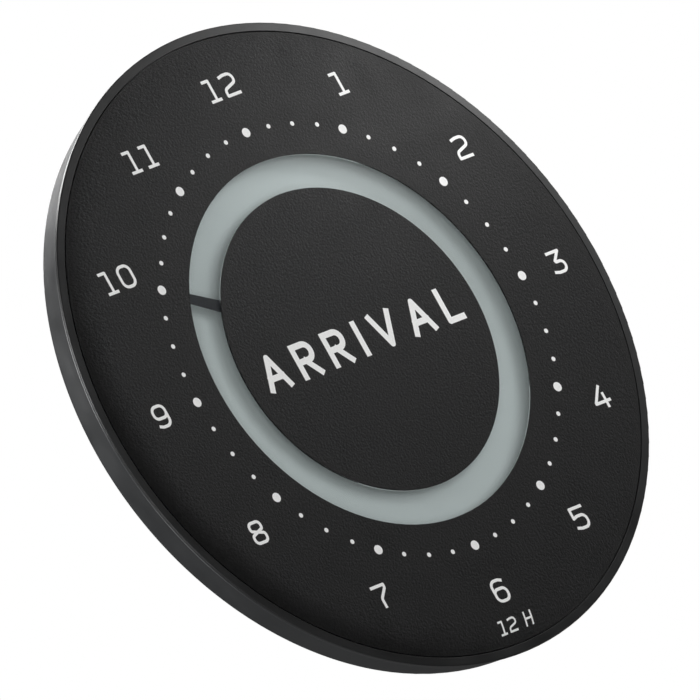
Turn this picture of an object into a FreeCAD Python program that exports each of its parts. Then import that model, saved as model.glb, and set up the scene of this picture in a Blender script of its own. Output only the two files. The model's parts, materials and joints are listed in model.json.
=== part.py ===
"""Electronic parking disc: a round, flat device that lies against the inside of a windscreen.

Every piece is drawn in the dial's own axes: x towards 3 o'clock, y towards 12 o'clock and z out of
the dial, with z = 0 at the front face. A "depth" is a distance behind that face. The finished
pieces are then stood upright: the dial faces -Y, 12 o'clock points to +Z, 3 o'clock to +X.
All sizes are in millimetres.
"""
import FreeCAD, Part
import math
import os
import Sketcher
from FreeCAD import Placement, Rotation, Vector

# Driving dimensions, by the name that their cell in the sheet has.
SIZE = {
    # front housing, with the narrow rim round the dial
    "disc_radius": 50.0,
    "rim_depth": 1.45,
    "rim_lip": 0.35,
    "rim_inner_radius": 48.65,
    "seat_depth": 1.85,
    "seat_inner_radius": 35.4,
    "web_back": 2.85,
    "parting_depth": 2.0,
    "parting_radius": 49.3,
    "skirt_outer_radius": 47.4,
    "skirt_inner_radius": 46.2,
    "skirt_back": 5.0,
    # dial plate and dial centre
    "dial_edge_radius": 48.5,
    "dial_flat_radius": 43.2,
    "film_thickness": 0.25,
    "display_recess_radius": 36.0,
    "ring_outer_radius": 28.8,
    "ring_inner_radius": 23.5,
    # front window
    "window_radius": 35.8,
    "window_back": 0.45,
    "ring_sink": 0.05,
    "ring_clearance": 0.05,
    # print
    "print_thickness": 0.06,
    "dot_circle_radius": 33.5,
    "hour_dot_radius": 0.72,
    "quarter_dot_radius": 0.35,
    "numeral_circle_radius": 40.85,
    "numeral_height": 3.62,
    "numeral_stroke": 0.47,
    "legend_height": 5.6,
    "legend_stroke": 0.95,
    "code_circle_radius": 45.9,
    "code_height": 2.1,
    "code_stroke": 0.3,
    # display cell
    "mark_front": 0.455,
    "mark_back": 0.495,
    "mark_inner_half_width": 0.95,
    "mark_outer_half_width": 0.76,
    "mark_inner_radius": 22.8,
    "mark_outer_radius": 29.5,
    "front_glass_front": 0.5,
    "front_glass_back": 0.85,
    "front_glass_radius": 35.2,
    "rear_glass_front": 0.87,
    "rear_glass_back": 1.22,
    "rear_glass_radius": 32.4,
    # reflector tray
    "tray_front": 1.25,
    "tray_floor": 2.8,
    "tray_back": 3.4,
    "tray_outer_radius": 32.8,
    "tray_inner_radius": 19.4,
    "tray_wall": 0.8,
    "tray_foot_radius": 1.0,
    "tray_foot_circle": 26.0,
    "connector_length": 12.0,
    "connector_width": 1.4,
    "connector_height_on_dial": 33.75,
    # circuit board
    "board_front": 4.2,
    "board_back": 5.0,
    "board_radius": 38.3,
    "post_circle": 37.0,
    "post_radius": 1.2,
    "post_pin_radius": 0.6,
    "post_head_radius": 1.1,
    "post_head_back": 5.35,
    "board_hole_radius": 0.65,
    # rear housing
    "wall_front_radius": 49.87,
    "wall_rear_radius": 48.73,
    "wall_rear_depth": 7.05,
    "wall_inner_front_radius": 48.45,
    "wall_inner_rear_radius": 47.35,
    "wall_inner_rear_depth": 6.5,
    "back_radius": 44.0,
    "back_inner_radius": 43.4,
    "floor_depth": 8.7,
    "case_depth": 10.0,
    # case screws
    "screw_circle": 41.0,
    "boss_radius": 2.3,
    "front_boss_back": 6.0,
    "rear_boss_front": 6.05,
    "pilot_radius": 1.0,
    "pilot_front": 3.2,
    "screw_tip": 3.5,
    "screw_radius": 0.95,
    "screw_hole_radius": 1.15,
    "screw_head_radius": 1.8,
    "screw_head_front": 8.45,
    "screw_head_back": 9.6,
    "screw_recess_radius": 2.05,
    "screw_recess_front": 8.4,
    # battery bay and door
    "cell_radius": 10.0,
    "cell_cap_radius": 8.7,
    "cell_front": 5.4,
    "cell_can_front": 5.75,
    "cell_back": 8.6,
    "bay_hole_radius": 12.8,
    "bay_collar_radius": 16.0,
    "bay_collar_front": 7.5,
    "bay_ledge_depth": 9.0,
    "bay_recess_radius": 14.2,
    "door_radius": 14.0,
    "door_hub_radius": 12.6,
    "door_bore_radius": 11.4,
    "door_bore_back": 8.7,
    "lug_front": 6.6,
    "lug_back": 7.4,
    "coin_slot_length": 17.0,
    "coin_slot_width": 2.0,
    "coin_slot_floor": 9.3,
    "spring_radius": 5.0,
    "clip_inner_radius": 10.1,
    "clip_outer_radius": 10.35,
    "clip_front": 6.2,
    "clip_back": 8.0,
    # setting buttons and their switches
    "button_offset": 9.0,
    "button_height_on_dial": 27.0,
    "button_radius": 3.9,
    "button_hole_radius": 4.1,
    "button_flange_radius": 5.0,
    "button_flange_front": 8.05,
    "button_flange_back": 8.65,
    "button_face": 9.9,
    "button_dish": 9.68,
    "button_stem_radius": 1.4,
    "button_stem_front": 6.95,
    "guard_inner_radius": 5.3,
    "guard_outer_radius": 6.1,
    "guard_front": 7.2,
    "switch_side": 5.0,
    "switch_back": 6.2,
    "switch_hole_radius": 1.35,
    "switch_hole_front": 5.1,
    "plunger_radius": 1.2,
    "plunger_front": 5.75,
    "plunger_back": 6.9,
    # parts on the board
    "chip_side": 7.0,
    "chip_back": 6.0,
    "sensor_side": 3.0,
    "sensor_back": 5.9,
    "crystal_length": 3.2,
    "crystal_width": 1.5,
    "crystal_back": 5.8,
    "capacitor_length": 1.6,
    "capacitor_width": 0.8,
    "capacitor_back": 5.85,
    # label
    "label_width": 34.0,
    "label_height": 13.0,
    "label_corner": 1.5,
    "label_front": 9.88,
    "label_back": 9.98,
    "label_centre_on_dial": 28.0,
    # moulded marks on the back
    "symbol_length": 2.6,
    "symbol_width": 0.55,
    "symbol_floor": 9.8,
    "symbol_height_on_dial": 34.0,
}

SCREW_ANGLES = (45, 135, 225, 315)
POST_ANGLES = (15, 105, 195, 285)
TRAY_FOOT_ANGLES = (0, 60, 120, 180, 240, 300)
LUG_ANGLES = (0, 120, 240)
LUG_SPAN = 25
NOTCH_SPAN = 31
DOOR_TURN = 50
CLIP_START = 160
CLIP_SPAN = 220
MARK_HOUR = 10

UPRIGHT = Placement(Vector(0, 0, 0), Rotation(Vector(1, 0, 0), 90))

doc = FreeCAD.newDocument("parking_disc")
sheet = doc.addObject("Spreadsheet::Sheet", "Sizes")
for line_number, (name, size) in enumerate(SIZE.items(), start=1):
    sheet.set("A%d" % line_number, name)
    sheet.set("B%d" % line_number, str(size))
    sheet.setAlias("B%d" % line_number, name)
doc.recompute()

finished = []


# ---------------------------------------------------------------- sizes and bookkeeping

def amount(formula):
    """The value of a sum such as "disc_radius - rim_lip"."""
    total = 0.0
    sign = 1
    for word in formula.split():
        if word in ("+", "-"):
            sign = 1 if word == "+" else -1
        else:
            total += sign * (SIZE[word] if word in SIZE else float(word))
    return total


def cell(formula):
    """The same sum, written for setExpression."""
    return " ".join("Sizes." + word if word in SIZE else word for word in formula.split())


def stand_up(piece, label, turn=0):
    """Name a finished piece and set it upright, turned about the dial's axis by turn degrees."""
    piece.Label = label
    piece.Placement = UPRIGHT.multiply(Placement(Vector(0, 0, 0), Rotation(Vector(0, 0, 1), turn)))
    finished.append(piece)
    return piece


def polar(radius, angle):
    """The point at an angle in degrees, anticlockwise from 3 o'clock."""
    return radius * math.cos(math.radians(angle)), radius * math.sin(math.radians(angle))


# ---------------------------------------------------------------- building blocks

def origin_plane(body, role):
    return [plane for plane in body.Origin.OriginFeatures if plane.Role == role][0]


def new_sketch(body, name, role):
    sketch = body.newObject("Sketcher::SketchObject", name)
    sketch.AttachmentSupport = [(origin_plane(body, role), "")]
    sketch.MapMode = "FlatFace"
    return sketch


def fix_corner(sketch, line, across, down):
    """Tie the start of a line to its radius (across) and its depth (down)."""
    if amount(across) == 0:
        sketch.addConstraint(Sketcher.Constraint("PointOnObject", line, 1, -2))
    else:
        number = sketch.addConstraint(
            Sketcher.Constraint("DistanceX", -1, 1, line, 1, amount(across)))
        sketch.setExpression("Constraints[%d]" % number, cell(across))
    if amount(down) == 0:
        sketch.addConstraint(Sketcher.Constraint("PointOnObject", line, 1, -1))
    else:
        number = sketch.addConstraint(
            Sketcher.Constraint("DistanceY", line, 1, -1, 1, amount(down)))
        sketch.setExpression("Constraints[%d]" % number, cell(down))


def turned(name, outline, rounded=()):
    """A PartDesign body turned about the dial's axis.

    outline is a list of (radius, depth) corners. rounded is a list of
    (radius, depth, fillet radius) for the edges to be softened.
    """
    body = doc.addObject("PartDesign::Body", name + "_body")
    sketch = new_sketch(body, name + "_outline", "XZ_Plane")
    corners = [Vector(amount(across), -amount(down), 0) for across, down in outline]
    count = len(corners)
    for number in range(count):
        following = corners[(number + 1) % count]
        sketch.addGeometry(Part.LineSegment(corners[number], following), False)
    for number in range(count):
        sketch.addConstraint(Sketcher.Constraint("Coincident", number, 2, (number + 1) % count, 1))
    for number, (across, down) in enumerate(outline):
        fix_corner(sketch, number, across, down)
    revolution = body.newObject("PartDesign::Revolution", name + "_turned")
    revolution.Profile = sketch
    revolution.ReferenceAxis = (sketch, ["V_Axis"])
    revolution.Angle = 360
    doc.recompute()
    for number, (across, down, fillet_radius) in enumerate(rounded):
        add_fillet(body, "%s_edge_%d" % (name, number + 1), across, down, fillet_radius)
    return body


def add_fillet(body, name, across, down, fillet_radius):
    """Soften the circular edge of a body that lies at a radius and a depth."""
    shape = body.Tip.Shape
    edges = []
    for number, edge in enumerate(shape.Edges, start=1):
        curve = edge.Curve
        is_circle = curve.TypeId == "Part::GeomCircle"
        if is_circle and abs(curve.Radius - amount(across)) < 1e-4 \
                and abs(curve.Center.z + amount(down)) < 1e-4:
            edges.append("Edge%d" % number)
    if not edges:
        raise RuntimeError("no edge to soften for " + name)
    base = body.Tip
    fillet = body.newObject("PartDesign::Fillet", name)
    fillet.Base = (base, edges)
    fillet.Radius = fillet_radius
    doc.recompute()


def drum(name, radius, front, back, across=0.0, up=0.0, start=None, span=None):
    """A cylinder, or a pie slice of one, between two depths."""
    piece = doc.addObject("Part::Cylinder", name)
    piece.setExpression("Radius", cell(radius))
    piece.setExpression("Height", "(%s) - (%s)" % (cell(back), cell(front)))
    piece.Placement = Placement(Vector(across, up, -amount(back)), Rotation())
    piece.setExpression("Placement.Base.z", "-(%s)" % cell(back))
    if span is not None:
        piece.Angle = span
        piece.Placement.Rotation = Rotation(Vector(0, 0, 1), start)
    return piece


def block(name, width, height, front, back, across=0.0, up=0.0):
    """A box centred on a point of the dial, between two depths."""
    piece = doc.addObject("Part::Box", name)
    piece.setExpression("Length", cell(width))
    piece.setExpression("Width", cell(height))
    piece.setExpression("Height", "(%s) - (%s)" % (cell(back), cell(front)))
    piece.Placement = Placement(Vector(across, up, 0), Rotation())
    piece.setExpression("Placement.Base.x", "%r - (%s) / 2" % (across, cell(width)))
    piece.setExpression("Placement.Base.y", "%r - (%s) / 2" % (up, cell(height)))
    piece.setExpression("Placement.Base.z", "-(%s)" % cell(back))
    return piece


def rounded_corners(name, piece, radius):
    """A block with its four upright edges rounded."""
    doc.recompute()
    upright = []
    for number, edge in enumerate(piece.Shape.Edges, start=1):
        if abs(edge.tangentAt(edge.FirstParameter).z) > 0.5:
            upright.append((number, radius, radius))
    rounded = doc.addObject("Part::Fillet", name)
    rounded.Base = piece
    rounded.Edges = upright
    return rounded


def joined(name, pieces):
    fuse = doc.addObject("Part::MultiFuse", name)
    fuse.Shapes = pieces
    fuse.Refine = True
    return fuse


def cut(name, base, tools):
    """The base with every tool taken away."""
    tool = tools[0] if len(tools) == 1 else joined(name + "_tools", tools)
    result = doc.addObject("Part::Cut", name)
    result.Base = base
    result.Tool = tool
    result.Refine = True
    return result


def group(name, pieces):
    """Separate solids that share one node."""
    compound = doc.addObject("Part::Compound", name)
    compound.Links = pieces
    return compound


# ---------------------------------------------------------------- lettering

def corner_arc(before, corner, after, radius):
    """The start, middle and end of the arc that rounds a corner."""
    back = (before - corner).normalize()
    ahead = (after - corner).normalize()
    half_angle = back.getAngle(ahead) / 2
    reach = radius / math.tan(half_angle)
    centre = corner + (back + ahead).normalize() * (radius / math.sin(half_angle))
    middle = centre + (corner - centre).normalize() * radius
    return corner + back * reach, middle, corner + ahead * reach


def pen_path(points, closed):
    """A wire through points of (x, y, corner radius), with tangent arcs at the corners."""
    spots = [Vector(x, y, 0) for x, y, radius in points]
    count = len(points)
    stops = []
    for number, (x, y, radius) in enumerate(points):
        at_an_end = not closed and number in (0, count - 1)
        if radius == 0 or at_an_end:
            stops.append((spots[number],))
        else:
            before = spots[number - 1]
            after = spots[(number + 1) % count]
            stops.append(corner_arc(before, spots[number], after, radius))
    edges = []
    for number, stop in enumerate(stops):
        if len(stop) == 3:
            edges.append(Part.Arc(*stop).toShape())
        if number < count - 1 or closed:
            following = stops[(number + 1) % count]
            if stop[-1].distanceToPoint(following[0]) > 1e-6:
                edges.append(Part.LineSegment(stop[-1], following[0]).toShape())
    return Part.Wire(edges)


def flat_face(corners):
    return Part.Face(Part.makePolygon(corners + corners[:1]))


def straight_stroke(start, end, width):
    """The outline of one straight stroke, run on at both ends by half its width."""
    along = (end - start).normalize() * (width / 2)
    aside = Vector(-along.y, along.x, 0)
    return flat_face([start - along - aside, end + along - aside, end + along + aside,
                      start - along + aside])


def stroke_faces(points, closed, width):
    """The flat faces that together make one stroke with square ends."""
    spots = [Vector(x, y, 0) for x, y, radius in points]
    if len(spots) == 2:
        return [straight_stroke(spots[0], spots[1], width)]
    path = pen_path(points, closed)
    if closed:
        outside = Part.Face(path.makeOffset2D(width / 2, 0, False, False, False))
        inside = Part.Face(path.makeOffset2D(-width / 2, 0, False, False, False))
        return [outside.cut(inside)]
    faces = [path.makeOffset2D(width / 2, 0, True, False, False)]
    for end, neighbour in ((spots[0], spots[1]), (spots[-1], spots[-2])):
        outward = (end - neighbour).normalize() * (width / 2)
        aside = Vector(-outward.y, outward.x, 0)
        faces.append(flat_face([end - aside, end + outward - aside, end + outward + aside,
                                end + aside]))
    return faces


OPEN = False
CLOSED = True

# Each sign: its width against its height, and its strokes in a unit square. A point is
# (x, y) or (x, y, corner radius), the radius against the sign's height.
SIGNS = {
    "0": (0.75, [(CLOSED, [(0, 0, 0.3), (1, 0, 0.3), (1, 1, 0.3), (0, 1, 0.3)])]),
    "1": (0.56, [(OPEN, [(0, 1), (0.6, 1), (0.6, 0)]), (OPEN, [(0.08, 0), (1, 0)])]),
    "2": (0.75, [(OPEN, [(0, 0.95), (0.3, 1, 0.3), (1, 1, 0.28), (1, 0.55, 0.2),
                         (0, 0.32, 0.2), (0, 0), (1, 0)])]),
    "3": (0.75, [(OPEN, [(0, 1), (0.92, 1), (0.36, 0.57), (0.4, 0.51, 0.02),
                         (1, 0.51, 0.24), (1, 0, 0.26), (0.3, 0, 0.3), (0, 0.06)])]),
    "4": (0.86, [(OPEN, [(0.68, 1), (0, 0.3), (0, 0.26), (1, 0.26)]),
                 (OPEN, [(0.74, 0.62), (0.74, 0)])]),
    "5": (0.75, [(OPEN, [(0.96, 1), (0, 1), (0, 0.53), (0.3, 0.6, 0.3), (1, 0.6, 0.26),
                         (1, 0, 0.28), (0.3, 0, 0.3), (0, 0.06)])]),
    "6": (0.75, [(OPEN, [(0.92, 0.94), (0.7, 1, 0.3), (0, 1, 0.3), (0, 0.32)]),
                 (CLOSED, [(0, 0, 0.28), (1, 0, 0.28), (1, 0.59, 0.24), (0, 0.59, 0.24)])]),
    "7": (0.75, [(OPEN, [(0, 1), (1, 1), (1, 0.84, 0.15), (0.4, 0.4, 0.25), (0.4, 0)])]),
    "8": (0.75, [(CLOSED, [(0.04, 1, 0.2), (0.96, 1, 0.2), (0.96, 0.64, 0.12), (0.5, 0.52),
                           (0.04, 0.64, 0.12)]),
                 (CLOSED, [(0, 0, 0.22), (1, 0, 0.22), (1, 0.4, 0.14), (0.5, 0.52),
                           (0, 0.4, 0.14)])]),
    "9": (0.75, [(OPEN, [(0.08, 0.06), (0.3, 0, 0.3), (1, 0, 0.3), (1, 0.68)]),
                 (CLOSED, [(1, 1, 0.28), (0, 1, 0.28), (0, 0.41, 0.24), (1, 0.41, 0.24)])]),
    "A": (0.8, [(OPEN, [(0, 0), (0.5, 1), (1, 0)]), (OPEN, [(0.17, 0.32), (0.83, 0.32)])]),
    "H": (0.72, [(OPEN, [(0, 0), (0, 1)]), (OPEN, [(1, 0), (1, 1)]),
                 (OPEN, [(0, 0.5), (1, 0.5)])]),
    "I": (0.0, [(OPEN, [(0, 0), (0, 1)])]),
    "L": (0.56, [(OPEN, [(0, 1), (0, 0), (1, 0)])]),
    "R": (0.68, [(OPEN, [(0, 0), (0, 1)]),
                 (OPEN, [(0, 1), (1, 1, 0.25), (1, 0.48, 0.25), (0, 0.48)]),
                 (OPEN, [(0.45, 0.48), (1, 0)])]),
    "V": (0.8, [(OPEN, [(0, 1), (0.5, 0), (1, 1)])]),
}


def sign_faces(sign, left, bottom, height, stroke):
    """The flat outlines of the strokes of one sign, in millimetres."""
    width_ratio, strokes = SIGNS[sign]
    faces = []
    for closed, points in strokes:
        scaled = []
        for point in points:
            radius = point[2] * height if len(point) == 3 else 0.0
            scaled.append((left + point[0] * width_ratio * height, bottom + point[1] * height,
                           radius))
        faces.extend(stroke_faces(scaled, closed, stroke))
    return faces


def word_signs(word, centre_x, centre_y, overall_height, stroke, gap):
    """The strokes of each sign of a word, centred on a point. A blank leaves three gaps."""
    height = overall_height - stroke
    widths = [gap if sign == " " else SIGNS[sign][0] * height + stroke for sign in word]
    total = sum(widths) + gap * (len(word) - 1)
    left = centre_x - total / 2
    bottom = centre_y - height / 2
    signs = []
    for sign, width in zip(word, widths):
        if sign != " ":
            signs.append(sign_faces(sign, left + stroke / 2, bottom, height, stroke))
        left += width + gap
    return signs


def prism(face):
    """A stroke, drawn out through the front face of the dial."""
    reach = SIZE["seat_depth"]
    solid = face.extrude(Vector(0, 0, reach))
    solid.translate(Vector(0, 0, -reach / 2))
    return solid


def inlay(name, signs, ground):
    """Print that is flush with the face of the solid it lies in."""
    lowered = ground.copy()
    lowered.translate(Vector(0, 0, -SIZE["print_thickness"]))
    solids = []
    for faces in signs:
        column = prism(faces[0])
        for face in faces[1:]:
            column = column.fuse(prism(face))
        solids.extend(column.removeSplitter().common(ground).cut(lowered).Solids)
    piece = doc.addObject("Part::Feature", name + "_print")
    piece.Shape = Part.makeCompound(solids)
    return piece


def dot_signs(radius, angles):
    dots = []
    for angle in angles:
        x, y = polar(SIZE["dot_circle_radius"], angle)
        circle = Part.Circle(Vector(x, y, 0), Vector(0, 0, 1), radius)
        dots.append([Part.Face(Part.Wire([circle.toShape()]))])
    return dots


# ---------------------------------------------------------------- front of the disc

def make_front_housing():
    """The frame with the narrow rim, the board's posts and the bosses for the screws."""
    ring = turned("front_housing", [
        ("seat_inner_radius", "seat_depth"), ("rim_inner_radius", "seat_depth"),
        ("rim_inner_radius", "rim_depth"), ("disc_radius", "rim_depth"),
        ("disc_radius", "rim_depth + rim_lip"), ("parting_radius", "rim_depth + rim_lip"),
        ("parting_radius", "parting_depth"), ("skirt_outer_radius", "parting_depth"),
        ("skirt_outer_radius", "skirt_back"), ("skirt_inner_radius", "skirt_back"),
        ("skirt_inner_radius", "web_back"), ("seat_inner_radius", "web_back"),
    ], [
        ("disc_radius", "rim_depth", 0.15), ("disc_radius", "rim_depth + rim_lip", 0.08),
        ("rim_inner_radius", "rim_depth", 0.08),
    ])
    solids = [ring]
    pilots = []
    for angle in SCREW_ANGLES:
        x, y = polar(SIZE["screw_circle"], angle)
        solids.append(drum("front_boss", "boss_radius", "web_back", "front_boss_back", x, y))
        pilots.append(drum("pilot", "pilot_radius", "pilot_front", "front_boss_back", x, y))
    for angle in POST_ANGLES:
        x, y = polar(SIZE["post_circle"], angle)
        solids.append(drum("post", "post_radius", "web_back", "board_front", x, y))
        solids.append(drum("post_pin", "post_pin_radius", "web_back", "post_head_back", x, y))
        solids.append(drum("post_head", "post_head_radius", "board_back", "post_head_back", x, y))
    stand_up(cut("front_housing", joined("front_frame", solids), pilots), "front_housing")


def make_dial_plate():
    """The grained face outside the ring, whose edge falls in one arc to the rim."""
    width = SIZE["dial_edge_radius"] - SIZE["dial_flat_radius"]
    drop = SIZE["rim_depth"]
    arc_radius = (width ** 2 + drop ** 2) / (2 * drop)
    body = doc.addObject("PartDesign::Body", "dial_plate_body")
    sketch = new_sketch(body, "dial_plate_outline", "XZ_Plane")
    outline = [
        ("dial_edge_radius", "rim_depth"), ("dial_edge_radius", "seat_depth"),
        ("display_recess_radius", "seat_depth"), ("display_recess_radius", "film_thickness"),
        ("ring_outer_radius", "film_thickness"), ("ring_outer_radius", "0"),
        ("dial_flat_radius", "0"),
    ]
    corners = [Vector(amount(across), -amount(down), 0) for across, down in outline]
    for start, end in zip(corners, corners[1:]):
        sketch.addGeometry(Part.LineSegment(start, end), False)
    last_line = len(corners) - 2
    circle = Part.Circle(Vector(SIZE["dial_flat_radius"], -arc_radius, 0), Vector(0, 0, 1),
                         arc_radius)
    edge_angle = math.pi / 2 - math.asin(width / arc_radius)
    arc = sketch.addGeometry(Part.ArcOfCircle(circle, edge_angle, math.pi / 2), False)
    for number in range(last_line):
        sketch.addConstraint(Sketcher.Constraint("Coincident", number, 2, number + 1, 1))
    sketch.addConstraint(Sketcher.Constraint("Coincident", arc, 1, 0, 1))
    sketch.addConstraint(Sketcher.Constraint("Tangent", last_line, 2, arc, 2))
    for number, (across, down) in enumerate(outline[:-1]):
        fix_corner(sketch, number, across, down)
    sketch.addConstraint(Sketcher.Constraint("Horizontal", last_line))
    flat_end = sketch.addConstraint(
        Sketcher.Constraint("DistanceX", -1, 1, last_line, 2, SIZE["dial_flat_radius"]))
    sketch.setExpression("Constraints[%d]" % flat_end, cell("dial_flat_radius"))
    revolution = body.newObject("PartDesign::Revolution", "dial_plate_turned")
    revolution.Profile = sketch
    revolution.ReferenceAxis = (sketch, ["V_Axis"])
    revolution.Angle = 360
    doc.recompute()
    return body


def make_dial(plate):
    """The dial plate and the print in it: hours, dots and the small code."""
    ground = plate.Shape
    hours = []
    for hour in range(1, 13):
        x, y = polar(SIZE["numeral_circle_radius"], 90 - 30 * hour)
        hours.extend(word_signs(str(hour), x, y, SIZE["numeral_height"],
                                SIZE["numeral_stroke"], 1.1))
    numerals = inlay("hour_numerals", hours, ground)
    hour_angles = [30 * hour for hour in range(12)]
    quarter_angles = [7.5 * step for step in range(48) if step % 4]
    hour_dots = inlay("hour_dots", dot_signs(SIZE["hour_dot_radius"], hour_angles), ground)
    quarter_dots = inlay("quarter_dots", dot_signs(SIZE["quarter_dot_radius"], quarter_angles),
                         ground)
    code = inlay("lower_legend",
                 word_signs("12 H", 0, -SIZE["code_circle_radius"], SIZE["code_height"],
                            SIZE["code_stroke"], 0.55), ground)
    prints = [numerals, hour_dots, quarter_dots, code]
    stand_up(cut("dial_plate", plate, prints), "dial_plate")
    for piece, label in zip(prints, ("hour_numerals", "hour_dots", "quarter_dots",
                                     "lower_legend")):
        stand_up(group(label, [piece]), label)


def make_dial_centre():
    """The grained disc inside the ring, with its one-word legend."""
    disc = turned("dial_centre", [
        ("0", "0"), ("ring_inner_radius", "0"), ("ring_inner_radius", "film_thickness"),
        ("0", "film_thickness"),
    ])
    legend = inlay("centre_legend",
                   word_signs("ARRIVAL", 0, 0, SIZE["legend_height"], SIZE["legend_stroke"], 2.25),
                   disc.Shape)
    stand_up(cut("dial_centre", disc, [legend]), "dial_centre")
    stand_up(group("centre_legend", [legend]), "centre_legend")


def make_front_window():
    """One clear moulding: a thin sheet with a raised ring that fills the gap in the dial."""
    stand_up(turned("front_window", [
        ("0", "film_thickness"),
        ("ring_inner_radius + ring_clearance", "film_thickness"),
        ("ring_inner_radius + ring_clearance", "ring_sink"),
        ("ring_outer_radius - ring_clearance", "ring_sink"),
        ("ring_outer_radius - ring_clearance", "film_thickness"),
        ("window_radius", "film_thickness"), ("window_radius", "window_back"),
        ("0", "window_back"),
    ]), "front_window")


def make_time_mark():
    """The dark display segment that shows the time of arrival."""
    outline = [
        Vector(-SIZE["mark_inner_half_width"], SIZE["mark_inner_radius"], 0),
        Vector(SIZE["mark_inner_half_width"], SIZE["mark_inner_radius"], 0),
        Vector(SIZE["mark_outer_half_width"], SIZE["mark_outer_radius"], 0),
        Vector(-SIZE["mark_outer_half_width"], SIZE["mark_outer_radius"], 0),
    ]
    face = Part.Face(Part.makePolygon(outline + outline[:1]))
    face.translate(Vector(0, 0, -SIZE["mark_back"]))
    piece = doc.addObject("Part::Feature", "lcd_time_mark")
    piece.Shape = face.extrude(Vector(0, 0, SIZE["mark_back"] - SIZE["mark_front"]))
    stand_up(piece, "lcd_time_mark", turn=-30 * MARK_HOUR)


def make_display_glass():
    for label in ("front_glass", "rear_glass"):
        glass = drum(label + "_disc", label + "_radius", label + "_front", label + "_back")
        stand_up(group("lcd_" + label, [glass]), "lcd_" + label)


def make_reflector_tray():
    """A white ring channel whose floor is the bright ground of the display."""
    ring = turned("tray", [
        ("tray_inner_radius", "tray_front"),
        ("tray_inner_radius + tray_wall", "tray_front"),
        ("tray_inner_radius + tray_wall", "tray_floor"),
        ("tray_outer_radius - tray_wall", "tray_floor"),
        ("tray_outer_radius - tray_wall", "tray_front"),
        ("tray_outer_radius", "tray_front"), ("tray_outer_radius", "tray_back"),
        ("tray_inner_radius", "tray_back"),
    ], [("tray_inner_radius + tray_wall", "tray_floor", 0.4),
        ("tray_outer_radius - tray_wall", "tray_floor", 0.4)])
    feet = []
    for angle in TRAY_FOOT_ANGLES:
        x, y = polar(SIZE["tray_foot_circle"], angle)
        feet.append(drum("tray_foot", "tray_foot_radius", "tray_back", "board_front", x, y))
    stand_up(joined("lcd_reflector_tray", [ring] + feet), "lcd_reflector_tray")


def make_connector_strips():
    height = SIZE["connector_height_on_dial"]
    strips = [block("connector_strip", "connector_length", "connector_width",
                    "rear_glass_front", "board_front", 0.0, side * height) for side in (1, -1)]
    stand_up(group("lcd_connector_strips", strips), "lcd_connector_strips")


# ---------------------------------------------------------------- electronics

def make_circuit_board():
    board = drum("board_disc", "board_radius", "board_front", "board_back")
    holes = []
    for angle in POST_ANGLES:
        x, y = polar(SIZE["post_circle"], angle)
        holes.append(drum("board_hole", "board_hole_radius", "board_front", "board_back", x, y))
    stand_up(cut("circuit_board", board, holes), "circuit_board")


def make_microcontroller(across, up):
    """A flat square chip with eight gull-wing leads on each side."""
    lead_length = 1.0
    lead_width = 0.3
    lead_height = 0.2
    pitch = 0.8
    body = block("chip_body", "chip_side", "chip_side", "board_back + 0.1", "chip_back",
                 across, up)
    pieces = [body]
    reach = SIZE["chip_side"] / 2 + lead_length / 2 - 0.1
    for side in range(4):
        for number in range(8):
            along = (number - 3.5) * pitch
            lead = doc.addObject("Part::Box", "chip_lead")
            sideways = side % 2 == 0
            lead.Length = lead_length if sideways else lead_width
            lead.Width = lead_width if sideways else lead_length
            lead.Height = lead_height
            offset = reach if side < 2 else -reach
            centre_x = across + (offset if sideways else along)
            centre_y = up + (along if sideways else offset)
            lead.Placement.Base = Vector(centre_x - lead.Length.Value / 2,
                                         centre_y - lead.Width.Value / 2,
                                         -SIZE["board_back"] - lead_height)
            pieces.append(lead)
    stand_up(joined("microcontroller", pieces), "microcontroller")


def make_board_parts():
    make_microcontroller(-22.0, 6.0)
    sensor = block("sensor_body", "sensor_side", "sensor_side", "board_back", "sensor_back",
                   22.0, 10.0)
    stand_up(chamfered("motion_sensor", sensor, 0.25), "motion_sensor")
    crystal = block("crystal_can", "crystal_length", "crystal_width", "board_back",
                    "crystal_back", -20.0, 15.0)
    stand_up(chamfered("clock_crystal", crystal, 0.2), "clock_crystal")
    capacitors = []
    for number in range(6):
        x, y = polar(24.0, 60 + 12 * number)
        capacitors.append(block("capacitor", "capacitor_length", "capacitor_width",
                                "board_back", "capacitor_back", x, y))
    stand_up(group("board_capacitors", capacitors), "board_capacitors")


def chamfered(name, piece, size):
    """Chamfer the rear edges of a block."""
    doc.recompute()
    back = min(vertex.Z for vertex in piece.Shape.Vertexes)
    chosen = []
    for number, edge in enumerate(piece.Shape.Edges, start=1):
        if all(abs(vertex.Z - back) < 1e-6 for vertex in edge.Vertexes):
            chosen.append((number, size, size))
    chamfer = doc.addObject("Part::Chamfer", name)
    chamfer.Base = piece
    chamfer.Edges = chosen
    return chamfer


def make_switch(label, across):
    """A flat key switch and the plunger that stands out of it."""
    up = -SIZE["button_height_on_dial"]
    case = block(label + "_case", "switch_side", "switch_side", "board_back", "switch_back",
                 across, up)
    well = drum(label + "_well", "switch_hole_radius", "switch_hole_front", "switch_back",
                across, up)
    stand_up(cut(label, case, [well]), label)
    plunger = drum(label + "_pin", "plunger_radius", "plunger_front", "plunger_back", across, up)
    stand_up(group(label + "_plunger", [plunger]), label + "_plunger")


# ---------------------------------------------------------------- battery bay

def make_cell():
    stand_up(turned("coin_cell", [
        ("0", "cell_front"), ("cell_cap_radius", "cell_front"),
        ("cell_cap_radius", "cell_can_front"), ("cell_radius", "cell_can_front"),
        ("cell_radius", "cell_back"), ("0", "cell_back"),
    ], [("cell_cap_radius", "cell_front", 0.3), ("cell_radius", "cell_back", 0.4)]), "coin_cell")


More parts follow.
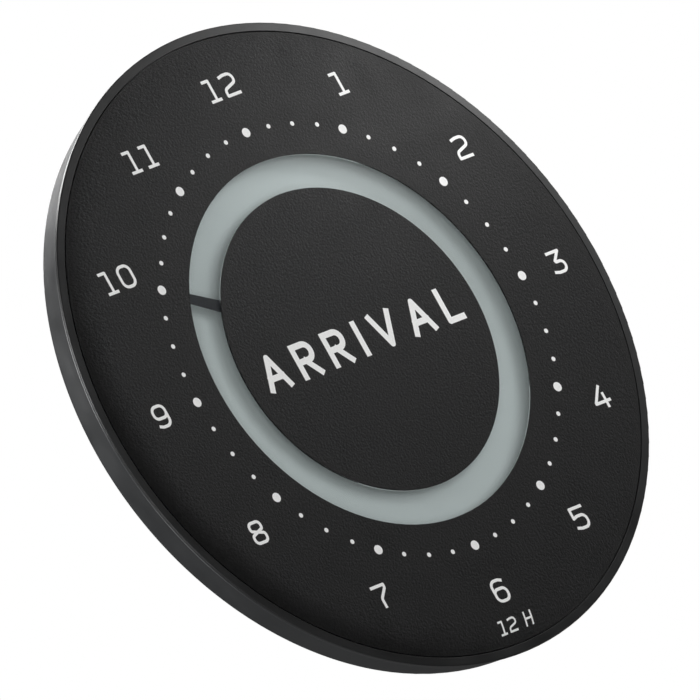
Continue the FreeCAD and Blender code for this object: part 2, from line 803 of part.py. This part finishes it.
def make_battery_contacts():
    stand_up(turned("negative_spring", [
        ("0", "board_back + 0.25"), ("1.6", "board_back + 0.25"), ("3.2", "board_back"),
        ("spring_radius", "board_back"), ("spring_radius", "board_back + 0.15"),
        ("3.2", "board_back + 0.15"), ("1.6", "board_back + 0.4"), ("0", "board_back + 0.4"),
    ]), "battery_contact_negative")
    band = drum("clip_band", "clip_outer_radius", "clip_front", "clip_back",
                start=CLIP_START, span=CLIP_SPAN)
    bore = drum("clip_bore", "clip_inner_radius", "clip_front", "clip_back")
    legs = []
    for angle in (CLIP_START, CLIP_START + CLIP_SPAN / 2, CLIP_START + CLIP_SPAN - 12):
        slice_of_band = drum("clip_leg_slice", "clip_outer_radius", "board_back",
                             "clip_front + 0.2", start=angle, span=12)
        leg_bore = drum("clip_leg_bore", "clip_inner_radius", "board_back", "clip_front + 0.2")
        legs.append(cut("clip_leg", slice_of_band, [leg_bore]))
    stand_up(joined("battery_contact_positive", [cut("clip_ring", band, [bore])] + legs),
             "battery_contact_positive")


def make_battery_door():
    """A round door with three lugs behind its hub and a slot for a coin."""
    flange = turned("door_flange", [
        ("0", "bay_ledge_depth"), ("door_radius", "bay_ledge_depth"),
        ("door_radius", "case_depth"), ("0", "case_depth"),
    ], [("door_radius", "case_depth", 0.25)])
    hub = drum("door_hub", "door_hub_radius", "lug_front", "bay_ledge_depth")
    lugs = [drum("door_lug", "door_radius", "lug_front", "lug_back",
                 start=DOOR_TURN + angle - LUG_SPAN / 2, span=LUG_SPAN) for angle in LUG_ANGLES]
    bore = drum("door_bore", "door_bore_radius", "lug_front", "door_bore_back")
    slot = block("coin_slot", "coin_slot_length", "coin_slot_width", "coin_slot_floor",
                 "case_depth + 1")
    slot_ends = []
    for side in (1, -1):
        end = doc.addObject("Part::Cylinder", "coin_slot_end")
        end.setExpression("Radius", "Sizes.coin_slot_width / 2")
        end.setExpression("Height", cell("case_depth + 1 - coin_slot_floor"))
        end.Placement.Base = Vector(side * SIZE["coin_slot_length"] / 2, 0,
                                    -amount("case_depth + 1"))
        slot_ends.append(end)
    pointer = drum("door_pointer", "symbol_width", "symbol_floor", "case_depth + 1",
                   *polar(SIZE["door_radius"] - 1.6, 90))
    door = cut("battery_door", joined("door_solid", [flange, hub] + lugs),
               [bore, slot, pointer] + slot_ends)
    stand_up(door, "battery_door")


# ---------------------------------------------------------------- back of the disc

def make_rear_housing():
    """The tapered side wall and the back, with the battery bay, bosses and button holes."""
    shell = turned("rear_shell", [
        ("wall_inner_front_radius", "parting_depth"), ("wall_front_radius", "parting_depth"),
        ("wall_rear_radius", "wall_rear_depth"), ("back_radius", "case_depth"),
        ("0", "case_depth"), ("0", "floor_depth"), ("back_inner_radius", "floor_depth"),
        ("wall_inner_rear_radius", "wall_inner_rear_depth"),
    ], [
        ("wall_front_radius", "parting_depth", 0.25), ("wall_rear_radius", "wall_rear_depth", 1.2),
        ("back_radius", "case_depth", 2.0),
    ])
    solids = [shell, drum("collar", "bay_collar_radius", "bay_collar_front", "floor_depth")]
    tools = [
        drum("bay_hole", "bay_hole_radius", "bay_collar_front", "case_depth"),
        drum("bay_recess", "bay_recess_radius", "bay_ledge_depth", "case_depth + 1"),
    ]
    for angle in LUG_ANGLES:
        tools.append(drum("lug_notch", "bay_recess_radius", "bay_collar_front",
                          "bay_ledge_depth", start=angle - NOTCH_SPAN / 2, span=NOTCH_SPAN))
    for angle in SCREW_ANGLES:
        x, y = polar(SIZE["screw_circle"], angle)
        solids.append(drum("rear_boss", "boss_radius", "rear_boss_front", "floor_depth", x, y))
        tools.append(drum("screw_hole", "screw_hole_radius", "rear_boss_front", "case_depth",
                          x, y))
        tools.append(drum("screw_recess", "screw_recess_radius", "screw_recess_front",
                          "case_depth + 1", x, y))
    height = -SIZE["button_height_on_dial"]
    for side in (1, -1):
        across = side * SIZE["button_offset"]
        guard = drum("guard", "guard_outer_radius", "guard_front", "floor_depth", across, height)
        guard_bore = drum("guard_bore", "guard_inner_radius", "guard_front", "floor_depth",
                          across, height)
        solids.append(cut("guard_ring", guard, [guard_bore]))
        tools.append(drum("button_hole", "button_hole_radius", "floor_depth", "case_depth + 1",
                          across, height))
    tools.extend(back_symbols())
    recess_box = block("recess_box", "label_width + 0.3", "label_height + 0.3",
                       "label_front", "case_depth + 1", 0.0, SIZE["label_centre_on_dial"])
    tools.append(rounded_corners("label_recess", recess_box, SIZE["label_corner"] + 0.15))
    stand_up(cut("rear_housing", joined("rear_solid", solids), tools), "rear_housing")


def back_symbols():
    """Moulded marks: plus and minus under the buttons, locked and open beside the door."""
    up = -SIZE["symbol_height_on_dial"]
    right = SIZE["button_offset"]
    mark_radius = SIZE["bay_recess_radius"] + 1.6
    locked = polar(mark_radius, 90)
    opened = polar(mark_radius, 90 - DOOR_TURN)
    return [
        block("plus_bar", "symbol_length", "symbol_width", "symbol_floor", "case_depth + 1",
              right, up),
        block("plus_stem", "symbol_width", "symbol_length", "symbol_floor", "case_depth + 1",
              right, up),
        block("minus_bar", "symbol_length", "symbol_width", "symbol_floor", "case_depth + 1",
              -right, up),
        drum("locked_mark", "symbol_width", "symbol_floor", "case_depth + 1", *locked),
        cut("opened_mark",
            drum("opened_disc", "symbol_width + 0.35", "symbol_floor", "case_depth + 1", *opened),
            [drum("opened_core", "symbol_width - 0.1", "symbol_floor", "case_depth + 1",
                  *opened)]),
    ]


def make_button(label, across):
    """A dished cap with a flange behind the back wall and a stem on the switch's plunger."""
    cap = turned(label, [
        ("0", "button_stem_front"), ("button_stem_radius", "button_stem_front"),
        ("button_stem_radius", "button_flange_front"),
        ("button_flange_radius", "button_flange_front"),
        ("button_flange_radius", "button_flange_back"), ("button_radius", "button_flange_back"),
        ("button_radius", "button_face"), ("button_radius - 0.7", "button_face"),
        ("0", "button_dish"),
    ], [("button_radius", "button_face", 0.2)])
    cap.Placement = Placement(Vector(across, -SIZE["button_height_on_dial"], 0), Rotation())
    stand_up(group(label, [cap]), label)


def make_case_screws():
    """Four equal pan-head screws with a cross recess."""
    screws = []
    for angle in SCREW_ANGLES:
        x, y = polar(SIZE["screw_circle"], angle)
        shank = drum("shank", "screw_radius", "screw_tip", "screw_head_front", x, y)
        head = drum("head", "screw_head_radius", "screw_head_front", "screw_head_back", x, y)
        recess = [
            block("recess_bar", "symbol_length - 0.4", "symbol_width - 0.05",
                  "screw_head_back - 0.6", "screw_head_back + 1", x, y),
            block("recess_stem", "symbol_width - 0.05", "symbol_length - 0.4",
                  "screw_head_back - 0.6", "screw_head_back + 1", x, y),
        ]
        screws.append(cut("screw", joined("screw_solid", [shank, head]), recess))
    stand_up(group("case_screws", screws), "case_screws")


def make_rear_label():
    square_sheet = block("square_sheet", "label_width", "label_height", "label_front",
                         "label_back", 0.0, SIZE["label_centre_on_dial"])
    label = rounded_corners("label_sheet", square_sheet, SIZE["label_corner"])
    stand_up(group("rear_label", [label]), "rear_label")


# ---------------------------------------------------------------- all pieces

def make_all():
    make_front_housing()
    make_dial(make_dial_plate())
    make_dial_centre()
    make_front_window()
    make_time_mark()
    make_display_glass()
    make_reflector_tray()
    make_connector_strips()
    make_circuit_board()
    make_board_parts()
    for label, side in (("hour", 1), ("minute", -1)):
        make_switch(label + "_switch", side * SIZE["button_offset"])
        make_button(label + "_button", side * SIZE["button_offset"])
    make_cell()
    make_battery_contacts()
    make_battery_door()
    make_rear_housing()
    make_case_screws()
    make_rear_label()


def check_document():
    """Stop if any object failed or any finished piece is empty or broken."""
    doc.recompute()
    for item in doc.Objects:
        if "Invalid" in item.State or "Error" in item.State:
            raise RuntimeError("failed object: " + item.Name)
    for piece in finished:
        shape = piece.Shape
        if shape.isNull() or not shape.isValid() or not shape.Solids:
            raise RuntimeError("broken shape: " + piece.Label)


def write_steps():
    os.makedirs("parts", exist_ok=True)
    for piece in finished:
        piece.Shape.exportStep("parts/%s.step" % piece.Label)
        print("%-26s %2d solid(s) %10.2f mm3" % (piece.Label, len(piece.Shape.Solids),
                                                  piece.Shape.Volume))


make_all()
check_document()
write_steps()
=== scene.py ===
"""Looks of the electronic parking disc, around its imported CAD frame.

Lengths are in metres. The disc stands in the row frame: its dial faces -Y, 12 o'clock is at +Z,
3 o'clock at +X. Every visible piece is a CAD node; this script gives each one its material, and
adds the camera, the lights and the floor.
"""

import json
import math

import bpy
from mathutils import Matrix, Vector

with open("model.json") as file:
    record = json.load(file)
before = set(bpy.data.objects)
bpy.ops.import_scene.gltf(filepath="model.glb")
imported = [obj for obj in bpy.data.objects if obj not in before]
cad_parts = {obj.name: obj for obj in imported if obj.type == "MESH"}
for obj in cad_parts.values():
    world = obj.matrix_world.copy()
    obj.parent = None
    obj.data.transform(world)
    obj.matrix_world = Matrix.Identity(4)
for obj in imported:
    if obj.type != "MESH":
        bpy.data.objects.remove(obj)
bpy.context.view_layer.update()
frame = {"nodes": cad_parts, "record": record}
nodes = frame["nodes"]

MM = 0.001

# The parts of a noise's range, 0 to 1, that most of it falls in.
WIDE = (0.3, 0.7)
NARROW = (0.35, 0.65)

# Moulded plastic: patches of colour and gloss, and what a worn edge looks like.
CLOUD_SIZE = 6 * MM
CLOUD_SHARE = 0.4
WORN_BAND = 0.5 * MM
WORN_PATCHES = (0.45, 0.6)
WORN_GLOSS = 0.08

# Clear sheet: smudges and faint waves on its face.
SMUDGE_SIZE = 4 * MM
SMUDGE_TINT = 0.006
SMUDGE_ROUGHNESS = 0.04
WAVE_SIZE = 0.6 * MM
WAVE_DEPTH = 0.0004 * MM

# Plated metal: drawn scratches, and patches of tarnish.
SCRATCH_SIZE = 0.15 * MM
SCRATCH_STRETCH = 12.0
SCRATCH_DEPTH = 0.003 * MM
TARNISH_SIZE = 2 * MM
TARNISH = 0.85

# Printed ink: the marks of the screen's mesh.
MESH_SIZE = 0.25 * MM
MESH_DEPTH = 0.004 * MM
THIN_INK = 0.93

# Circuit board: copper tracks under the green mask.
TRACK_SPACING = 3 * MM
TRACK_EDGE = (0.04, 0.06)
TRACK_DEPTH = 0.03 * MM


# ---------------------------------------------------------------- node helpers

class Graph:
    """A material's node tree, with short ways to add the nodes that every finish here uses."""

    def __init__(self, name):
        self.material = bpy.data.materials.new(name)
        self.material.use_nodes = True
        self.tree = self.material.node_tree
        self.tree.nodes.clear()
        self.place = self.add("ShaderNodeTexCoord").outputs["Object"]

    def add(self, kind, **settings):
        """A node; settings named after a socket set its value, others set a property."""
        node = self.tree.nodes.new(kind)
        for key, value in settings.items():
            if key in node.inputs:
                node.inputs[key].default_value = value
            else:
                setattr(node, key, value)
        return node

    def link(self, source, target):
        """Join an output socket to an input socket."""
        self.tree.links.new(source, target)

    def noise(self, size, detail=2.0, roughness=0.5):
        """Noise from 0 to 1 whose patches are about size metres wide."""
        node = self.add("ShaderNodeTexNoise", Scale=1.0 / size, Detail=detail,
                        Roughness=roughness)
        self.link(self.place, node.inputs["Vector"])
        return node.outputs["Fac"]

    def remap(self, source, low, high, to_low=0.0, to_high=1.0):
        """The source from low..high onto to_low..to_high, clamped."""
        node = self.add("ShaderNodeMapRange")
        node.inputs["From Min"].default_value = low
        node.inputs["From Max"].default_value = high
        node.inputs["To Min"].default_value = to_low
        node.inputs["To Max"].default_value = to_high
        self.link(source, node.inputs["Value"])
        return node.outputs["Result"]

    def maths(self, operation, first, second=None):
        """One sum; each value is a number or an output socket."""
        node = self.add("ShaderNodeMath", operation=operation)
        for socket, value in zip(node.inputs, (first, second)):
            if value is None:
                continue
            if isinstance(value, (int, float)):
                socket.default_value = value
            else:
                self.link(value, socket)
        return node.outputs[0]

    def blend(self, factor, dark, light):
        """A colour between two fixed colours."""
        node = self.add("ShaderNodeValToRGB")
        node.color_ramp.elements[0].color = (*dark, 1.0)
        node.color_ramp.elements[1].color = (*light, 1.0)
        self.link(factor, node.inputs["Fac"])
        return node.outputs["Color"]

    def radius(self):
        """Distance from the dial's axis, in metres."""
        apart = self.add("ShaderNodeSeparateXYZ")
        self.link(self.place, apart.inputs["Vector"])
        across = self.maths("POWER", apart.outputs["X"], 2.0)
        up = self.maths("POWER", apart.outputs["Z"], 2.0)
        return self.maths("SQRT", self.maths("ADD", across, up))

    def bump(self, height, depth, under=None):
        """Relief of the given depth in metres, on the normal under it."""
        node = self.add("ShaderNodeBump", Distance=depth)
        self.link(height, node.inputs["Height"])
        if under is not None:
            self.link(under, node.inputs["Normal"])
        return node.outputs["Normal"]

    def dial_normal(self):
        """The direction the flat dial faces."""
        turned = self.add("ShaderNodeVectorTransform", vector_type="NORMAL",
                          convert_from="OBJECT", convert_to="WORLD")
        turned.inputs["Vector"].default_value = (0.0, -1.0, 0.0)
        return turned.outputs["Vector"]

    def finish(self, shader):
        """The material, with this shader on its surface."""
        output = self.add("ShaderNodeOutputMaterial")
        self.link(shader, output.inputs["Surface"])
        return self.material


def grey(level, tint):
    """A dark colour: one level with a slight tint."""
    return tuple(level * part for part in tint)


def moulded_plastic(name, colour, roughness, grain_size, grain_depth, mottle=0.12, specular=0.5,
                    roughness_spread=0.06, worn_radius=None, flat=False):
    """Plastic out of a tool: mottled colour, fine grain, uneven gloss and a worn outer edge.

    A flat piece is shaded as one plane, because the photographed dial is even up to its groove.
    """
    graph = Graph(name)
    shader = graph.add("ShaderNodeBsdfPrincipled")
    shader.inputs["Specular IOR Level"].default_value = specular
    cloud = graph.noise(CLOUD_SIZE, 4.0)
    speckle = graph.noise(grain_size, 3.0, 0.6)
    mixed = graph.maths("ADD", graph.maths("MULTIPLY", cloud, CLOUD_SHARE),
                        graph.maths("MULTIPLY", speckle, 1.0 - CLOUD_SHARE))
    spread = graph.remap(mixed, *NARROW)
    darker = tuple(part * (1.0 - mottle) for part in colour)
    lighter = tuple(part * (1.0 + mottle) for part in colour)
    paint = graph.blend(spread, darker, lighter)
    gloss = graph.remap(cloud, *WIDE, roughness - roughness_spread,
                        roughness + roughness_spread)
    if worn_radius is not None:
        near_edge = graph.remap(graph.radius(), worn_radius - WORN_BAND, worn_radius)
        rub = graph.maths("MULTIPLY", near_edge, graph.remap(cloud, *WORN_PATCHES))
        gloss = graph.maths("SUBTRACT", gloss, graph.maths("MULTIPLY", rub, WORN_GLOSS))
    graph.link(paint, shader.inputs["Base Color"])
    graph.link(gloss, shader.inputs["Roughness"])
    under = graph.dial_normal() if flat else None
    graph.link(graph.bump(speckle, grain_depth, under=under), shader.inputs["Normal"])
    return graph.finish(shader.outputs["BSDF"])


def clear_pane(name, tint, roughness, index):
    """Clear sheet: light goes straight through, and a Fresnel share is reflected."""
    graph = Graph(name)
    through = graph.add("ShaderNodeBsdfTransparent")
    smudge = graph.noise(SMUDGE_SIZE, 3.0)
    lighter = tuple(min(1.0, part + SMUDGE_TINT) for part in tint)
    graph.link(graph.blend(smudge, tint, lighter), through.inputs["Color"])
    mirror = graph.add("ShaderNodeBsdfGlossy")
    graph.link(graph.remap(smudge, *WIDE, roughness, roughness + SMUDGE_ROUGHNESS),
               mirror.inputs["Roughness"])
    normal = graph.bump(graph.noise(WAVE_SIZE), WAVE_DEPTH)
    graph.link(normal, mirror.inputs["Normal"])
    fresnel = graph.add("ShaderNodeFresnel", IOR=index)
    graph.link(normal, fresnel.inputs["Normal"])
    mixed = graph.add("ShaderNodeMixShader")
    graph.link(fresnel.outputs["Fac"], mixed.inputs["Fac"])
    graph.link(through.outputs["BSDF"], mixed.inputs[1])
    graph.link(mirror.outputs["BSDF"], mixed.inputs[2])
    return graph.finish(mixed.outputs["Shader"])


def plated_metal(name, colour, roughness):
    """Plated sheet or wire: fine drawn scratches across the part, and cloudy gloss."""
    graph = Graph(name)
    shader = graph.add("ShaderNodeBsdfPrincipled", Metallic=1.0)
    stretch = graph.add("ShaderNodeMapping")
    stretch.inputs["Scale"].default_value = (1.0, 1.0, SCRATCH_STRETCH)
    graph.link(graph.place, stretch.inputs["Vector"])
    noise = graph.add("ShaderNodeTexNoise", Scale=1.0 / (SCRATCH_SIZE * SCRATCH_STRETCH),
                      Detail=3.0)
    graph.link(stretch.outputs["Vector"], noise.inputs["Vector"])
    scratches = noise.outputs["Fac"]
    cloud = graph.remap(graph.noise(TARNISH_SIZE, 3.0), *WIDE)
    darker = tuple(part * TARNISH for part in colour)
    graph.link(graph.blend(cloud, darker, colour), shader.inputs["Base Color"])
    graph.link(graph.remap(scratches, *WIDE, roughness * 0.7, roughness * 1.3),
               shader.inputs["Roughness"])
    graph.link(graph.bump(scratches, SCRATCH_DEPTH), shader.inputs["Normal"])
    return graph.finish(shader.outputs["BSDF"])


def printed_ink(name, colour):
    """Screen-printed ink: matt, with faint mesh marks and slightly uneven cover."""
    graph = Graph(name)
    shader = graph.add("ShaderNodeBsdfPrincipled", Roughness=0.6)
    cover = graph.noise(MESH_SIZE, 3.0)
    darker = tuple(part * THIN_INK for part in colour)
    graph.link(graph.blend(graph.remap(cover, *NARROW), darker, colour),
               shader.inputs["Base Color"])
    graph.link(graph.bump(cover, MESH_DEPTH), shader.inputs["Normal"])
    return graph.finish(shader.outputs["BSDF"])


def solder_mask(name):
    """Circuit board: green mask over faint copper tracks."""
    graph = Graph(name)
    shader = graph.add("ShaderNodeBsdfPrincipled", Roughness=0.35)
    cells = graph.add("ShaderNodeTexVoronoi", Scale=1.0 / TRACK_SPACING, distance="MANHATTAN",
                      feature="DISTANCE_TO_EDGE")
    graph.link(graph.place, cells.inputs["Vector"])
    track = graph.remap(cells.outputs["Distance"], *TRACK_EDGE, 1.0, 0.0)
    graph.link(graph.blend(track, (0.010, 0.11, 0.045), (0.03, 0.22, 0.08)),
               shader.inputs["Base Color"])
    graph.link(graph.bump(track, TRACK_DEPTH), shader.inputs["Normal"])
    return graph.finish(shader.outputs["BSDF"])


# ---------------------------------------------------------------- finishes

# One material for each material slot of the record.
FINISHES = {
    "dial_face": moulded_plastic(
        "dial_black", grey(0.0034, (1.0, 1.0, 1.03)), roughness=0.50, grain_size=0.36 * MM,
        grain_depth=0.07 * MM, mottle=0.95, specular=0.18, roughness_spread=0.05, flat=True),
    "rim": moulded_plastic(
        "rim_black", grey(0.008, (0.97, 1.0, 1.03)), roughness=0.36, grain_size=0.2 * MM,
        grain_depth=0.004 * MM, specular=0.32, worn_radius=50 * MM),
    "case_shell": moulded_plastic(
        "case_black", grey(0.016, (0.95, 1.0, 1.05)), roughness=0.38, grain_size=0.25 * MM,
        grain_depth=0.004 * MM, worn_radius=49.9 * MM),
    "print_white": printed_ink("ink_white", (0.95, 0.95, 0.94)),
    "window_clear": clear_pane(
        "window_polycarbonate", (0.985, 0.99, 0.99), roughness=0.30, index=1.16),
    "display_glass": clear_pane(
        "display_glass", (0.985, 0.99, 0.99), roughness=0.20, index=1.06),
    "display_mark": moulded_plastic(
        "segment_dark", (0.018, 0.021, 0.026), roughness=0.5, grain_size=0.15 * MM,
        grain_depth=0.002 * MM),
    "reflector": moulded_plastic(
        "reflector_grey_green", (0.84, 0.895, 0.888), roughness=0.7, grain_size=0.3 * MM,
        grain_depth=0.01 * MM, mottle=0.03),
    "connector_rubber": moulded_plastic(
        "connector_silicone", (0.10, 0.10, 0.11), roughness=0.75, grain_size=0.2 * MM,
        grain_depth=0.01 * MM, mottle=0.3),
    "board": solder_mask("board_green"),
    "chip": moulded_plastic(
        "chip_epoxy", (0.022, 0.022, 0.024), roughness=0.55, grain_size=0.12 * MM,
        grain_depth=0.006 * MM),
    "sensor_package": moulded_plastic(
        "sensor_epoxy", (0.05, 0.05, 0.06), roughness=0.5, grain_size=0.12 * MM,
        grain_depth=0.006 * MM),
    "crystal_can": plated_metal("crystal_plated", (0.75, 0.74, 0.70), roughness=0.25),
    "ceramic": moulded_plastic(
        "capacitor_ceramic", (0.45, 0.31, 0.18), roughness=0.6, grain_size=0.1 * MM,
        grain_depth=0.004 * MM),
    "switch_body": moulded_plastic(
        "switch_nylon", (0.05, 0.05, 0.05), roughness=0.5, grain_size=0.2 * MM,
        grain_depth=0.006 * MM),
    "switch_plunger": moulded_plastic(
        "plunger_nylon", (0.72, 0.68, 0.58), roughness=0.5, grain_size=0.2 * MM,
        grain_depth=0.006 * MM, mottle=0.05),
    "button": moulded_plastic(
        "button_grey", (0.085, 0.09, 0.098), roughness=0.42, grain_size=0.18 * MM,
        grain_depth=0.006 * MM),
    "cell_steel": plated_metal("cell_nickel", (0.72, 0.72, 0.70), roughness=0.28),
    "contact": plated_metal("contact_spring", (0.72, 0.66, 0.52), roughness=0.3),
    "door": moulded_plastic(
        "door_black", (0.028, 0.029, 0.032), roughness=0.42, grain_size=0.18 * MM,
        grain_depth=0.008 * MM),
    "screw": plated_metal("screw_black_zinc", (0.22, 0.22, 0.23), roughness=0.35),
    "label": moulded_plastic(
        "label_film", (0.22, 0.225, 0.23), roughness=0.42, grain_size=0.3 * MM,
        grain_depth=0.002 * MM, mottle=0.05),
}

for entry in frame["record"]["subparts"]:
    node = nodes[entry["node"]]
    node.data.materials.clear()
    node.data.materials.append(FINISHES[entry["material_slot"]])


# ---------------------------------------------------------------- camera

# Unit vectors of the view, fitted to the outline of the dial and its rings.
TO_CAMERA = Vector((-0.68138, -0.71803, -0.14195))
VIEW_UP = Vector((0.26633, -0.42388, 0.86568))
VIEW_RIGHT = VIEW_UP.cross(TO_CAMERA)

# The camera's place in the view: right, up and toward the viewer from the dial's centre.
CAMERA_RIGHT = -0.0014728
CAMERA_UP = -0.0016051
CAMERA_DISTANCE = 4.5106
LENS = 1650.0
SENSOR_WIDTH = 36.0


def view_point(right, up, toward):
    """A point by its place in the photographer's view, in metres from the dial's centre."""
    return VIEW_RIGHT * right + VIEW_UP * up + TO_CAMERA * toward


def add_camera():
    """A long lens, because the photograph is close to parallel."""
    camera_data = bpy.data.cameras.new("camera")
    camera_data.lens = LENS
    camera_data.sensor_width = SENSOR_WIDTH
    camera_data.clip_start = 0.1
    camera_data.clip_end = 20.0
    camera = bpy.data.objects.new("camera", camera_data)
    bpy.context.scene.collection.objects.link(camera)
    place = view_point(CAMERA_RIGHT, CAMERA_UP, CAMERA_DISTANCE)
    turn = Matrix((VIEW_RIGHT, VIEW_UP, TO_CAMERA)).transposed()
    camera.matrix_world = Matrix.Translation(place) @ turn.to_4x4()
    bpy.context.scene.camera = camera


add_camera()


# ---------------------------------------------------------------- floor and light

# The camera looks slightly upward, so the floor lies well below the disc and out of its view.
FLOOR_DROP = 1.2
FLOOR_RADIUS = 4.0
FLOOR_SIDES = 96


def add_floor():
    """A plain pale round floor."""
    step_angle = 2 * math.pi / FLOOR_SIDES
    corners = [(FLOOR_RADIUS * math.cos(step_angle * step),
                FLOOR_RADIUS * math.sin(step_angle * step), -FLOOR_DROP)
               for step in range(FLOOR_SIDES)]
    mesh = bpy.data.meshes.new("floor")
    mesh.from_pydata(corners, [], [list(range(FLOOR_SIDES))])
    floor = bpy.data.objects.new("floor", mesh)
    bpy.context.scene.collection.objects.link(floor)
    graph = Graph("floor_white")
    shader = graph.add("ShaderNodeBsdfPrincipled", Roughness=0.9)
    graph.link(graph.blend(graph.noise(0.05), (0.86, 0.86, 0.86), (0.88, 0.88, 0.88)),
               shader.inputs["Base Color"])
    mesh.materials.append(graph.finish(shader.outputs["BSDF"]))


add_floor()


def add_lamp(name, place, width, power):
    """A square soft box that shines at the dial's centre, and that the camera doesn't see."""
    lamp_data = bpy.data.lights.new(name, "AREA")
    lamp_data.shape = "SQUARE"
    lamp_data.size = width
    lamp_data.energy = power
    lamp = bpy.data.objects.new(name, lamp_data)
    lamp.location = place
    lamp.rotation_mode = "QUATERNION"
    lamp.rotation_quaternion = (-place).to_track_quat("-Z", "Y")
    lamp.visible_camera = False
    bpy.context.scene.collection.objects.link(lamp)


def dial_point(angle, radius, height):
    """A point by its angle from 3 o'clock, distance from the axis and height over the dial."""
    turn_angle = math.radians(angle)
    return Vector((radius * math.cos(turn_angle), -height, radius * math.sin(turn_angle)))


# Each soft box: its name, its place (right, up, toward the camera), its width and its power.
SOFT_BOXES = (
    ("front", (0.0, 0.0, 1.2), 0.6, 3.32),
    ("front_right", (0.66, 0.51, 0.86), 0.9, 3.04),
    ("front_left", (-0.54, 0.54, 0.92), 0.6, 2.6),
    ("behind_left", (-0.5, 0.5, -0.6), 0.5, 12.4),
    ("left", (-0.8, 0.0, 0.1), 0.4, 8.46),
    ("low_left", (-0.5, -0.6, 0.3), 0.4, 3.17),
)

# Each lamp near the dial: its name, its place (angle, radius, height), its width and its power.
# They make the dial brighter at the upper right and shade the walls of the recessed ring.
NEAR_LAMPS = (
    ("near_edge", (34.0, 0.0786, 0.0359), 0.04, 0.0174),
    ("near_right", (20.0, 0.20, 0.10), 0.10, 0.085),
    ("raking_right", (10.0, 0.35, 0.06), 0.10, 0.169),
    ("raking_top", (70.0, 0.30, 0.08), 0.10, 0.0463),
)

for name, place, width, power in SOFT_BOXES:
    add_lamp(name, view_point(*place), width, power)
for name, place, width, power in NEAR_LAMPS:
    add_lamp(name, dial_point(*place), width, power)


def make_world(light_strength):
    """White to the camera, and a faint even light on the object."""
    world = bpy.data.worlds.new("studio")
    bpy.context.scene.world = world
    world.use_nodes = True
    tree = world.node_tree
    tree.nodes.clear()
    seen = tree.nodes.new("ShaderNodeBackground")
    seen.inputs["Strength"].default_value = 1.0
    fill = tree.nodes.new("ShaderNodeBackground")
    fill.inputs["Strength"].default_value = light_strength
    for part in (seen, fill):
        part.inputs["Color"].default_value = (1.0, 1.0, 1.0, 1.0)
    path = tree.nodes.new("ShaderNodeLightPath")
    mixed = tree.nodes.new("ShaderNodeMixShader")
    output = tree.nodes.new("ShaderNodeOutputWorld")
    tree.links.new(path.outputs["Is Camera Ray"], mixed.inputs["Fac"])
    tree.links.new(fill.outputs["Background"], mixed.inputs[1])
    tree.links.new(seen.outputs["Background"], mixed.inputs[2])
    tree.links.new(mixed.outputs["Shader"], output.inputs["Surface"])


FILL_STRENGTH = 0.066
make_world(FILL_STRENGTH)

bpy.context.scene.view_settings.view_transform = "Standard"
bpy.context.scene.cycles.transparent_max_bounces = 32
